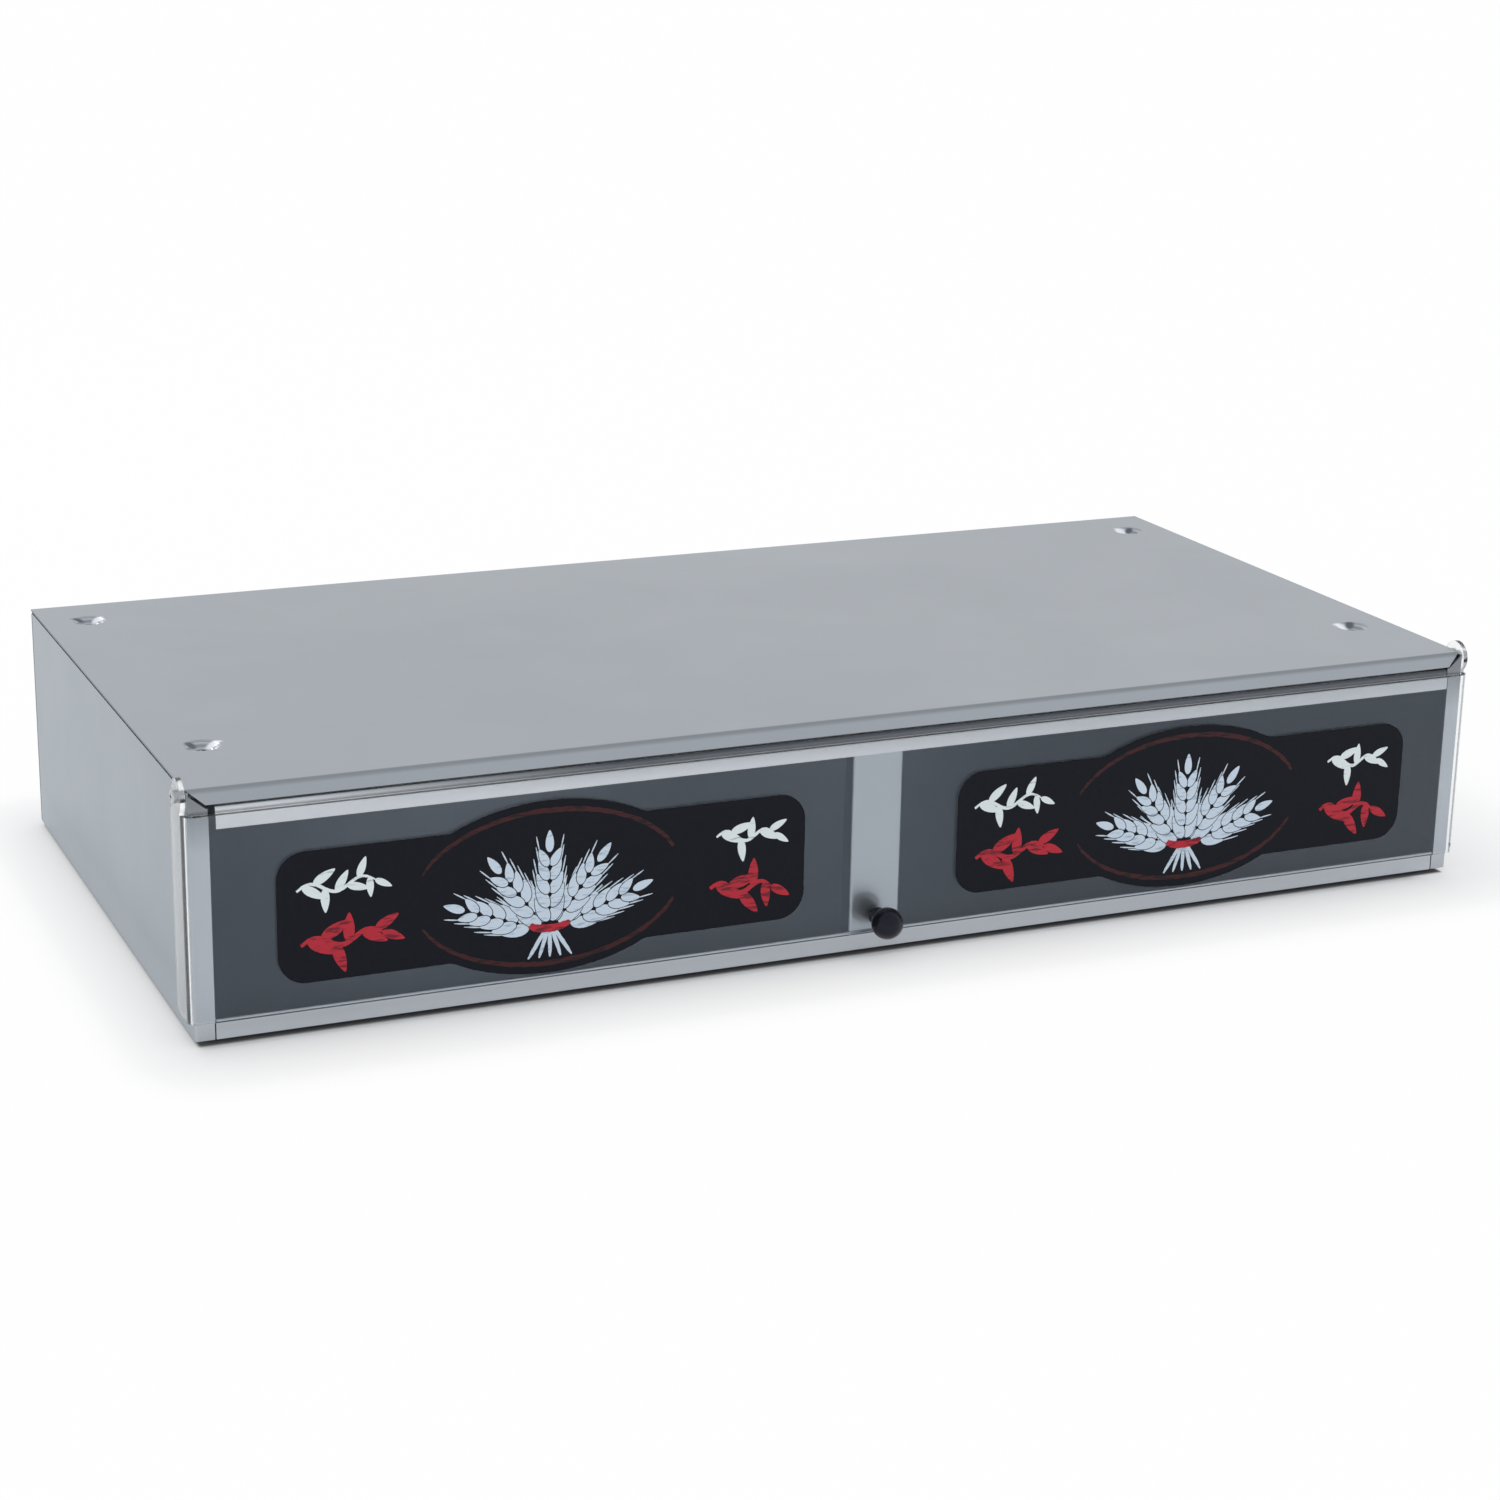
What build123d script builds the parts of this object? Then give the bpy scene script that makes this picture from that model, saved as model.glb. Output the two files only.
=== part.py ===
from build123d import *
import os
from math import radians, sqrt, tan

# Bun box: a low steel cabinet that stands under a roller grill, closed by one clear flip-up door.
# Millimetres, +Z up, front facing -Y. The origin is the bottom centre of the box around the whole object.

os.makedirs("parts", exist_ok=True)

# Steel cabinet
body_width = 901.7
body_depth = 450.6
body_height = 157.3
sheet = 1.2
bend_radius = 2.0
seam_gap = 0.8
flange_width = 12.2
rail_height = 13.4

# Front lip of the deck, and the bright rail under it
lip_height = 9.0
lip_setback = 5.0
mitre_width = 11.0
left_mitre_gap = 2.2
right_mitre_gap = 0.8
lip_groove = 1.5
deck_edge_gap = 1.2
deck_edge_gap_setback = 30.8
header_height = 13.7
shelf_depth = 10.0
rail_left_gap = 4.4
rail_right_gap = 0.5

# Centre post between the two openings
mullion_width = 35.9
mullion_depth = 12.0

# Dimpled holes of the deck, where the legs of the grill are bolted
leg_from_side = 31.75
leg_from_front = 89.2
leg_from_back = 43.9
dimple_diameter = 23.0
dimple_depth = 4.0
dimple_floor_diameter = 12.0
dimple_round = 4.0
leg_hole_diameter = 5.5

# Rubber feet, bonded to the floor from below
foot_diameter = 25.4
ground_clearance = 3.5
foot_edge_round = 0.8
foot_inset = 38.0

# Rivets of the back panel
rivet_diameter = 3.2
rivet_clearance = 0.05
rivet_head_diameter = 6.4
rivet_head_height = 1.0
rivet_head_round = 0.8
rivet_tail_diameter = 4.8
rivet_tail_height = 2.0
rivets_per_side = 3
rivets_along_pan = 3
rivet_end_margin = 28.0

# Clear door with its two bent ears
door_thickness = 3.2
door_gap = 0.8
door_bend_radius = 6.8
door_above_base = 12.1
door_below_top = 14.8
ear_depth = 26.4
ear_corner_radius = 3.0
ear_relief = 0.4
neck_blend_radius = 1.2
lobe_radius = 11.0
pivot_setback = 11.0
pivot_below_top = 5.0

# Shoulder screws, washers and nuts that carry the door
shoulder_diameter = 6.0
running_clearance = 0.06
end_play = 0.1
screw_head_diameter = 8.6
screw_head_height = 2.8
screw_head_round = 1.2
recess_length = 4.8
recess_width = 1.1
recess_depth = 1.4
thread_diameter = 4.0
thread_clearance = 0.05
thread_beyond_nut = 0.8
nut_width = 7.0
nut_height = 3.2
washer_diameter = 12.0

# Ball knob and its flat-head screw
knob_diameter = 21.0
knob_standoff = 15.6
knob_height = 23.4
knob_neck_diameter = 9.0
knob_base_diameter = 12.0
knob_base_height = 1.6
knob_screw_diameter = 5.0
knob_screw_head_diameter = 9.2
knob_screw_head_angle = 90.0
knob_screw_engagement = 12.0
knob_hole_spare = 1.5

# Labels on the door
label_side_margin = 36.95
label_band_height = 84.0
label_oval_width = 190.0
label_oval_height = 113.0
label_corner_radius = 18.0
label_blend_radius = 10.0
label_thickness = 0.2
label_below_middle = 5.3
label_shift = 1.7

# Faces of the cabinet
door_reach = door_gap + door_thickness + knob_standoff + knob_diameter / 2
front = (door_reach - body_depth - rivet_head_height) / 2
back = front + body_depth
base = ground_clearance
top = base + body_height
under_deck = top - sheet
half_width = body_width / 2
rail_top = base + rail_height
under_floor = rail_top - sheet
lip_bottom = top - lip_height
shelf_top = lip_bottom - lip_groove
opening_top = shelf_top - header_height
flange_edge = half_width - flange_width
half_pan = flange_edge - seam_gap
pan_back = back - sheet
inner_back = pan_back - sheet

# Faces of the door, and the pivot
pivot_y = front + pivot_setback
pivot_z = top - pivot_below_top
door_inside = front - door_gap
door_front = door_inside - door_thickness
door_bottom = base + door_above_base
door_top = top - door_below_top
ear_inside = half_width + door_gap
ear_outside = ear_inside + door_thickness
ear_back = front + ear_depth
knob_z = base + knob_height

# Places of the feet and of the rivets, as distances from the middle planes
middle_y = (front + back) / 2
foot_spacing_x = body_width - 2 * foot_inset
foot_spacing_y = body_depth - 2 * foot_inset
rivet_side_x = half_width - flange_width / 2
rivet_side_step = (under_deck - base - 2 * rivet_end_margin) / (rivets_per_side - 1)
rivet_side_z = (base + under_deck) / 2
rivet_pan_step = 2 * half_pan / rivets_along_pan
rivet_pan_z = (base + rail_top - bend_radius) / 2
rivet_hole_radius = rivet_diameter / 2 + rivet_clearance

# Bottom pan: a floor with four flanges folded down, the front one being the rail under the openings
pan_side = half_width - sheet
side_flange_front = front + sheet + seam_gap
side_flange_back = inner_back - seam_gap
with BuildPart() as bottom_pan:
    with BuildSketch(Plane.YZ):
        with BuildLine():
            FilletPolyline(
                (front, base),
                (front, rail_top),
                (pan_back, rail_top),
                (pan_back, base),
                radius=bend_radius,
            )
            offset(amount=sheet, side=Side.RIGHT)
        make_face()
    extrude(amount=half_pan, both=True)
    with BuildSketch(Plane.XZ.offset(-side_flange_back)):
        with BuildLine():
            FilletPolyline(
                (-pan_side, base),
                (-pan_side, rail_top),
                (pan_side, rail_top),
                (pan_side, base),
                radius=bend_radius,
            )
            offset(amount=sheet, side=Side.RIGHT)
        make_face()
    extrude(amount=side_flange_back - side_flange_front)
    with BuildSketch(Plane.XZ.offset(-pan_back)):
        with Locations((0, rivet_pan_z)):
            with GridLocations(rivet_pan_step, 0, rivets_along_pan, 1):
                Circle(rivet_hole_radius)
    extrude(amount=sheet, mode=Mode.SUBTRACT)
bottom_pan.part.label = "bottom_pan"
export_step(bottom_pan.part, "parts/bottom_pan.step")

# Side sheet: a web with a front and a rear flange. The front flange is the stile beside the opening.
# Behind the pivot its top edge stops short of the deck, which leaves the seam under the edge of the deck
edge_gap_front = front + deck_edge_gap_setback
edge_gap_back = pan_back - bend_radius
with BuildPart() as side_sheet:
    with BuildSketch(Plane.XY.offset(base)):
        with BuildLine():
            FilletPolyline(
                (-flange_edge, front),
                (-half_width, front),
                (-half_width, pan_back),
                (-flange_edge, pan_back),
                radius=bend_radius,
            )
            offset(amount=sheet, side=Side.RIGHT)
        make_face()
    extrude(amount=under_deck - base)
    with BuildSketch(Plane.YZ.offset(-half_width)):
        with Locations(((edge_gap_front + edge_gap_back) / 2, under_deck - deck_edge_gap / 2)):
            Rectangle(edge_gap_back - edge_gap_front, deck_edge_gap)
        with Locations((pivot_y, pivot_z)):
            Circle(thread_diameter / 2 + thread_clearance)
    extrude(amount=sheet, mode=Mode.SUBTRACT)
    with BuildSketch(Plane.XZ.offset(-pan_back)):
        with Locations((-rivet_side_x, rivet_side_z)):
            with GridLocations(0, rivet_side_step, 1, rivets_per_side):
                Circle(rivet_hole_radius)
    extrude(amount=sheet, mode=Mode.SUBTRACT)
with BuildPart() as mirrored_sheet:
    mirror(side_sheet.part, about=Plane.YZ)

# Side panels: the sheet and its mirror image, each with the top of its front flange cut away along the
# mitred end of the lip
for side, side_name, whole_sheet, mitre_gap in (
    (-1, "left", side_sheet, left_mitre_gap),
    (1, "right", mirrored_sheet, right_mitre_gap),
):
    with BuildPart() as side_panel:
        add(whole_sheet.part)
        with BuildSketch(Plane.XZ.offset(-front - bend_radius)):
            with BuildLine():
                Polyline(
                    (side * half_width, top - max(mitre_gap, sheet)),
                    (side * (half_width - mitre_width), lip_bottom - mitre_gap),
                    (side * (flange_edge - seam_gap), lip_bottom - mitre_gap),
                    (side * (flange_edge - seam_gap), top),
                    (side * half_width, top),
                    close=True,
                )
            make_face()
        extrude(amount=bend_radius, mode=Mode.SUBTRACT)
    side_panel.part.label = f"{side_name}_side_panel"
    export_step(side_panel.part, f"parts/{side_name}_side_panel.step")

# Left deck angle: a bent strip welded along the top of the side, which carries the edge of the deck
angle_front = pivot_y + nut_width
angle_back = inner_back - seam_gap
with BuildPart() as left_deck_angle:
    with BuildSketch(Plane.XZ.offset(-angle_back)):
        with BuildLine():
            FilletPolyline(
                (-pan_side, under_deck - flange_width),
                (-pan_side, under_deck),
                (-flange_edge, under_deck),
                radius=bend_radius,
            )
            offset(amount=sheet, side=Side.RIGHT)
        make_face()
    extrude(amount=angle_back - angle_front)
left_deck_angle.part.label = "left_deck_angle"
export_step(left_deck_angle.part, "parts/left_deck_angle.step")

# Right deck angle: the left one mirrored
with BuildPart() as right_deck_angle:
    mirror(left_deck_angle.part, about=Plane.YZ)
right_deck_angle.part.label = "right_deck_angle"
export_step(right_deck_angle.part, "parts/right_deck_angle.step")

# Back panel: a flat sheet with its top edge turned forward under the deck
with BuildPart() as back_panel:
    with BuildSketch(Plane.XZ.offset(-back)):
        with Locations((0, (base + under_deck - bend_radius) / 2)):
            Rectangle(body_width, under_deck - bend_radius - base)
    extrude(amount=sheet)
    with BuildSketch(Plane.YZ):
        with BuildLine():
            FilletPolyline(
                (back - flange_width, under_deck),
                (back, under_deck),
                (back, under_deck - flange_width),
                radius=bend_radius,
            )
            offset(amount=sheet, side=Side.RIGHT)
        make_face()
    extrude(amount=half_pan, both=True)
    with BuildSketch(Plane.XZ.offset(-back)):
        with Locations((0, rivet_side_z)):
            with GridLocations(2 * rivet_side_x, rivet_side_step, 2, rivets_per_side):
                Circle(rivet_hole_radius)
        with Locations((0, rivet_pan_z)):
            with GridLocations(rivet_pan_step, 0, rivets_along_pan, 1):
                Circle(rivet_hole_radius)
    extrude(amount=sheet, mode=Mode.SUBTRACT)
back_panel.part.label = "back_panel"
export_step(back_panel.part, "parts/back_panel.step")

# Top deck: a sheet over the sides. Its front edge is folded down as a lip with mitred ends,
# and four formed dimples carry the holes for the legs of the grill
dimple_radius = dimple_diameter / 2
dimple_floor_radius = dimple_floor_diameter / 2
leg_hole_radius = leg_hole_diameter / 2
leg_spacing_x = body_width - 2 * leg_from_side
leg_spacing_y = body_depth - leg_from_front - leg_from_back
leg_centre_y = front + leg_from_front + leg_spacing_y / 2
rim_radius = dimple_radius + dimple_round / 2
with BuildPart() as dimple:
    with BuildSketch(Plane.XZ):
        with BuildLine():
            FilletPolyline(
                (rim_radius, top),
                (dimple_radius, top),
                (dimple_floor_radius, top - dimple_depth),
                (leg_hole_radius, top - dimple_depth),
                radius=dimple_round,
            )
            offset(amount=sheet, side=Side.LEFT)
        make_face()
    revolve(axis=Axis.Z)
with BuildPart() as top_deck:
    with BuildSketch(Plane.YZ):
        with BuildLine():
            FilletPolyline(
                (front, lip_bottom),
                (front + lip_setback, top),
                (back, top),
                radius=bend_radius,
            )
            offset(amount=sheet, side=Side.RIGHT)
        make_face()
    extrude(amount=half_width, both=True)
    with BuildSketch(Plane.XZ.offset(-front - lip_setback - sheet)):
        with BuildLine():
            Polyline(
                (half_width, top),
                (half_width - mitre_width, lip_bottom),
                (half_width - mitre_width, lip_bottom - sheet),
                (half_width + seam_gap, lip_bottom - sheet),
                (half_width + seam_gap, top),
                close=True,
            )
        make_face()
        mirror(about=Plane.YZ)
    extrude(amount=lip_setback + sheet, mode=Mode.SUBTRACT)
    with BuildSketch(Plane.XY.offset(top)):
        with Locations((0, leg_centre_y)):
            with GridLocations(leg_spacing_x, leg_spacing_y, 2, 2):
                Circle(rim_radius)
    extrude(amount=-sheet, mode=Mode.SUBTRACT)
    with Locations((0, leg_centre_y, 0)):
        with GridLocations(leg_spacing_x, leg_spacing_y, 2, 2):
            add(dimple.part)
top_deck.part.label = "top_deck"
export_step(top_deck.part, "parts/top_deck.step")

# Front top rail: the bright strip over the openings, folded back and then up to the deck
rail_left = -flange_edge + rail_left_gap
rail_right = flange_edge - rail_right_gap
with BuildPart() as front_top_rail:
    with BuildSketch(Plane.YZ.offset(rail_left)):
        with BuildLine():
            FilletPolyline(
                (front, opening_top),
                (front, shelf_top),
                (front + shelf_depth, shelf_top),
                (front + shelf_depth, under_deck),
                (front + shelf_depth + flange_width, under_deck),
                radius=bend_radius,
            )
            offset(amount=sheet, side=Side.RIGHT)
        make_face()
    extrude(amount=rail_right - rail_left)
front_top_rail.part.label = "front_top_rail"
export_step(front_top_rail.part, "parts/front_top_rail.step")

# Centre mullion: a channel that stands on the floor, welded to it and behind the front top rail
mullion_front = front + sheet
mullion_back = mullion_front + mullion_depth
mullion_bottom = rail_top
mullion_top = shelf_top - sheet - bend_radius
with BuildPart() as centre_mullion:
    with BuildSketch(Plane.XY.offset(mullion_bottom)):
        with BuildLine():
            FilletPolyline(
                (mullion_width / 2, mullion_back),
                (mullion_width / 2, mullion_front),
                (-mullion_width / 2, mullion_front),
                (-mullion_width / 2, mullion_back),
                radius=bend_radius,
            )
            offset(amount=sheet, side=Side.RIGHT)
        make_face()
    extrude(amount=mullion_top - mullion_bottom)
centre_mullion.part.label = "centre_mullion"
export_step(centre_mullion.part, "parts/centre_mullion.step")

# Rubber feet: four tall pads bonded to the underside of the floor, their ground edges chamfered
for x_side, y_side, foot_name in (
    (-1, -1, "foot_front_left"),
    (1, -1, "foot_front_right"),
    (-1, 1, "foot_rear_left"),
    (1, 1, "foot_rear_right"),
):
    with BuildPart() as foot:
        with Locations((x_side * foot_spacing_x / 2, middle_y + y_side * foot_spacing_y / 2, 0)):
            Cylinder(foot_diameter / 2, under_floor, align=(Align.CENTER, Align.CENTER, Align.MIN))
        ground_rim = foot.edges().sort_by(Axis.Z)[0]
        chamfer(ground_rim, length=foot_edge_round)
    foot.part.label = foot_name
    export_step(foot.part, f"parts/{foot_name}.step")

# Blind rivets of the back panel, one group of separate solids
with BuildPart() as back_rivets:
    for start, length, radius in (
        (inner_back - rivet_tail_height, rivet_tail_height, rivet_tail_diameter / 2),
        (inner_back, 2 * sheet, rivet_diameter / 2),
        (back, rivet_head_height, rivet_head_diameter / 2),
    ):
        with BuildSketch(Plane.XZ.offset(-start)):
            with Locations((0, rivet_side_z)):
                with GridLocations(2 * rivet_side_x, rivet_side_step, 2, rivets_per_side):
                    Circle(radius)
            with Locations((0, rivet_pan_z)):
                with GridLocations(rivet_pan_step, 0, rivets_along_pan, 1):
                    Circle(radius)
        extrude(amount=-length)
    head_rims = back_rivets.edges().filter_by(GeomType.CIRCLE).group_by(Axis.Y)[-1]
    fillet(head_rims, radius=rivet_head_round)
back_rivets.part.label = "back_rivets"
export_step(back_rivets.part, "parts/back_rivets.step")

# Pivots: the ears of the door turn on the shoulders of two screws, each held by a nut inside the cabinet.
# A thin washer keeps the ear off the steel
shoulder_end = ear_outside + end_play
head_face = shoulder_end + screw_head_height
nut_face = half_width - sheet
thread_end = nut_face - nut_height - thread_beyond_nut
for side, side_name in ((-1, "left"), (1, "right")):
    outward = Plane(origin=(0, pivot_y, pivot_z), x_dir=(0, 1, 0), z_dir=(side, 0, 0))
    with BuildPart() as pivot_screw:
        with BuildSketch(outward.offset(thread_end)):
            Circle(thread_diameter / 2)
        extrude(amount=half_width - thread_end)
        with BuildSketch(outward.offset(half_width)):
            Circle(shoulder_diameter / 2)
        extrude(amount=shoulder_end - half_width)
        with BuildSketch(outward.offset(shoulder_end)):
            Circle(screw_head_diameter / 2)
        extrude(amount=screw_head_height)
        head_rim = pivot_screw.edges().filter_by(GeomType.CIRCLE).sort_by(Axis((0, 0, 0), (side, 0, 0)))[-1]
        fillet(head_rim, radius=screw_head_round)
        with BuildSketch(outward.offset(head_face)):
            Rectangle(recess_length, recess_width)
            Rectangle(recess_width, recess_length)
        extrude(amount=-recess_depth, mode=Mode.SUBTRACT)
    pivot_screw.part.label = f"{side_name}_pivot_screw"
    export_step(pivot_screw.part, f"parts/{side_name}_pivot_screw.step")

    with BuildPart() as pivot_nut:
        with BuildSketch(outward.offset(nut_face)):
            RegularPolygon(nut_width / 2, 6, major_radius=False)
            Circle(thread_diameter / 2 + thread_clearance, mode=Mode.SUBTRACT)
        extrude(amount=-nut_height)
    pivot_nut.part.label = f"{side_name}_pivot_nut"
    export_step(pivot_nut.part, f"parts/{side_name}_pivot_nut.step")

    with BuildPart() as spacer_washer:
        with BuildSketch(outward.offset(half_width)):
            Circle(washer_diameter / 2)
            Circle(shoulder_diameter / 2 + running_clearance, mode=Mode.SUBTRACT)
        extrude(amount=door_gap - 2 * end_play)
    spacer_washer.part.label = f"{side_name}_spacer_washer"
    export_step(spacer_washer.part, f"parts/{side_name}_spacer_washer.step")

# Door: one clear sheet bent at both ends into ears that reach back along the sides. Each ear rises
# above the sheet into a round lobe with the pivot hole
knob_screw_hole_radius = knob_screw_diameter / 2 + thread_clearance
lobe_back = pivot_y + lobe_radius
neck_front = door_front + door_bend_radius + ear_relief
neck_width = lobe_back - neck_front
neck_height = pivot_z - door_top
with BuildPart() as door_panel:
    with BuildSketch(Plane.XY.offset(door_bottom)):
        with BuildLine():
            FilletPolyline(
                (ear_outside, ear_back),
                (ear_outside, door_front),
                (-ear_outside, door_front),
                (-ear_outside, ear_back),
                radius=door_bend_radius,
            )
            offset(amount=door_thickness, side=Side.RIGHT)
        make_face()
    extrude(amount=door_top - door_bottom)
    ear_corners = door_panel.edges().filter_by(Axis.X).group_by(Axis.Y)[-1]
    fillet(ear_corners, radius=ear_corner_radius)
    for side in (-1, 1):
        with BuildSketch(Plane.YZ.offset(side * ear_inside)):
            with Locations((lobe_back - neck_width / 2, door_top + neck_height / 2)):
                Rectangle(neck_width, neck_height)
            with Locations((pivot_y, pivot_z)):
                Circle(lobe_radius)
        extrude(amount=side * door_thickness)
        neck_corner = door_panel.edges().filter_by(Axis.X).sort_by_distance(
            (side * (ear_inside + ear_outside) / 2, lobe_back, door_top)
        )[0]
        fillet(neck_corner, radius=neck_blend_radius)
        with BuildSketch(Plane.YZ.offset(side * ear_inside)):
            with Locations((pivot_y, pivot_z)):
                Circle(shoulder_diameter / 2 + running_clearance)
        extrude(amount=side * door_thickness, mode=Mode.SUBTRACT)
    with Locations(Plane(origin=(0, door_inside, knob_z), x_dir=(1, 0, 0), z_dir=(0, 1, 0))):
        CounterSinkHole(
            radius=knob_screw_hole_radius,
            counter_sink_radius=knob_screw_head_diameter / 2,
            depth=door_thickness,
            counter_sink_angle=knob_screw_head_angle,
        )
door_panel.part.label = "door_panel"
export_step(door_panel.part, "parts/door_panel.step")

# Ball knob on a short neck, bored for its screw. The section is drawn from the door outwards
outwards = Plane(origin=(0, door_front, knob_z), x_dir=(0, -1, 0), z_dir=(1, 0, 0))
knob_axis = Axis((0, door_front, knob_z), (0, -1, 0))
knob_radius = knob_diameter / 2
neck_radius = knob_neck_diameter / 2
base_radius = knob_base_diameter / 2
knob_end = knob_standoff + knob_radius
ball_start = knob_standoff - sqrt(knob_radius**2 - neck_radius**2)
with BuildPart() as door_knob:
    with BuildSketch(outwards):
        with BuildLine():
            Polyline(
                (knob_end, 0),
                (0, 0),
                (0, base_radius),
                (knob_base_height, base_radius),
                (knob_base_height + base_radius - neck_radius, neck_radius),
                (ball_start, neck_radius),
            )
            ThreePointArc((ball_start, neck_radius), (knob_standoff, knob_radius), (knob_end, 0))
        make_face()
    revolve(axis=knob_axis)
    with BuildSketch(Plane.XZ.offset(-door_front)):
        with Locations((0, knob_z)):
            Circle(knob_screw_hole_radius)
    extrude(amount=knob_screw_engagement + knob_hole_spare, mode=Mode.SUBTRACT)
door_knob.part.label = "door_knob"
export_step(door_knob.part, "parts/door_knob.step")

# Flat-head screw of the knob, its head flush with the inner face of the door
knob_screw_radius = knob_screw_diameter / 2
head_radius = knob_screw_head_diameter / 2 - thread_clearance
head_length = (head_radius - knob_screw_radius) / tan(radians(knob_screw_head_angle / 2))
with BuildPart() as knob_screw:
    with BuildSketch(outwards):
        with BuildLine():
            Polyline(
                (-door_thickness, 0),
                (-door_thickness, head_radius),
                (head_length - door_thickness, knob_screw_radius),
                (knob_screw_engagement, knob_screw_radius),
                (knob_screw_engagement, 0),
                close=True,
            )
        make_face()
    revolve(axis=knob_axis)
    with BuildSketch(Plane.XZ.offset(-door_inside)):
        with Locations((0, knob_z)):
            Rectangle(recess_length, recess_width)
            Rectangle(recess_width, recess_length)
    extrude(amount=recess_depth, mode=Mode.SUBTRACT)
knob_screw.part.label = "knob_screw"
export_step(knob_screw.part, "parts/knob_screw.step")

# Labels: thin contour-cut sheets on the outer face of the door, one over each opening
opening_centre = (flange_edge + mullion_width / 2) / 2
opening_width = flange_edge - mullion_width / 2
label_width = opening_width - 2 * label_side_margin
label_z = (door_bottom + door_top) / 2 - label_below_middle
for side, side_name in ((-1, "left"), (1, "right")):
    label_x = side * opening_centre + label_shift
    with BuildPart() as label:
        with BuildSketch(Plane.XZ.offset(-door_front)):
            with Locations((label_x, label_z)):
                RectangleRounded(label_width, label_band_height, label_corner_radius)
                Ellipse(label_oval_width / 2, label_oval_height / 2)
        extrude(amount=label_thickness)
        label_middle = Plane.YZ.offset(label_x)
        blend_edges = label.edges().filter_by(Axis.Y).sort_by_distance(label_middle.origin)
        blend_edges = [edge for edge in blend_edges if abs(edge.center().X - label_x) < label_oval_width / 2]
        fillet(blend_edges, radius=label_blend_radius)
    label.part.label = f"{side_name}_label"
    export_step(label.part, f"parts/{side_name}_label.step")
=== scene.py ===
import math
import random

import bmesh
import bpy
from mathutils import Matrix, Vector


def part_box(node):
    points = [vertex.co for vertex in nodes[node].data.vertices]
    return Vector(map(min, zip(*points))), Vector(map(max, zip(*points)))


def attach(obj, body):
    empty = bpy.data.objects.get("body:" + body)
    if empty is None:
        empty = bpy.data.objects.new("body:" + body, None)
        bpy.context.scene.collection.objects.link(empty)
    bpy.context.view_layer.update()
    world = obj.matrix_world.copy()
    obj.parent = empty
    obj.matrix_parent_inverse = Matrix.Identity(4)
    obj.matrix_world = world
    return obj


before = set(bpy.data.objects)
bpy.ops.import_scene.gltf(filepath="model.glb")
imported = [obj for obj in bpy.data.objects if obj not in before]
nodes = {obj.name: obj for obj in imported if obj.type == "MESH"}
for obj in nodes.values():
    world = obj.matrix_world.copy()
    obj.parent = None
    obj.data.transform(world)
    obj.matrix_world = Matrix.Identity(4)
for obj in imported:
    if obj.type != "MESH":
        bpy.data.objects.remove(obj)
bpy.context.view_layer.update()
scene = bpy.context.scene


# Camera: it stands to the left of the box and above it, a little turned, as a hand-held camera
# is. The place and the angles were solved from the straight edges of the box.
camera_azimuth = math.radians(-23.97)
camera_elevation = math.radians(17.14)
camera_roll = math.radians(1.094)
camera_place = Vector((-0.86092, -1.94280, 0.73300))
sensor_width = 36.0
focal_length_in_frames = 2.0986
farthest_seen = 100

backward = Vector(
    (
        math.sin(camera_azimuth) * math.cos(camera_elevation),
        -math.cos(camera_azimuth) * math.cos(camera_elevation),
        math.sin(camera_elevation),
    )
)
level_right = (-backward).cross(Vector((0, 0, 1))).normalized()
level_up = level_right.cross(-backward)
right = math.cos(camera_roll) * level_right + math.sin(camera_roll) * level_up
up = -math.sin(camera_roll) * level_right + math.cos(camera_roll) * level_up
camera_data = bpy.data.cameras.new("camera")
camera_data.sensor_width = sensor_width
camera_data.lens = sensor_width * focal_length_in_frames
camera_data.clip_end = farthest_seen
camera = bpy.data.objects.new("camera", camera_data)
facing = Matrix((right, up, backward)).transposed().to_4x4()
camera.matrix_world = Matrix.Translation(camera_place) @ facing
scene.collection.objects.link(camera)
scene.camera = camera
scene.view_settings.view_transform = "Standard"


# Room: a white studio, which the steel and the clear door mirror. It is whitest low down all
# round and a little greyer overhead. A small square lamp behind the box lights its edges and
# dimples. The camera doesn't see the lamp, but the steel mirrors it.
room_low = (1.0, 1.0, 1.0, 1)
room_high = (0.80, 0.82, 0.85, 1)
room_high_from = 0.9
room_strength = 0.94
lamp_place = Vector((-0.9, 2.0, 1.35))
lamp_target = Vector((-0.42, 0.04, 0.16))
lamp_size = 0.30
lamp_power = 2.6


def add_node(tree, kind, place=(0, 0), **values):
    """Adds a node. Each value goes to its input of that name, or else to the node itself."""
    node = tree.nodes.new(kind)
    node.location = place
    for name, value in values.items():
        if name in node.inputs:
            node.inputs[name].default_value = value
        else:
            setattr(node, name, value)
    return node


def add_fade(tree, low, high, to_low=0.0, to_high=1.0):
    """Adds a node that fades a value from one range to another, and holds it past both ends."""
    fade = add_node(tree, "ShaderNodeMapRange")
    ends = {"From Min": low, "From Max": high, "To Min": to_low, "To Max": to_high}
    for name, value in ends.items():
        fade.inputs[name].default_value = value
    return fade


def link(tree, *pairs):
    """Links sockets in pairs: an output, and the input that it feeds."""
    for source, target in pairs:
        tree.links.new(source, target)


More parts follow.
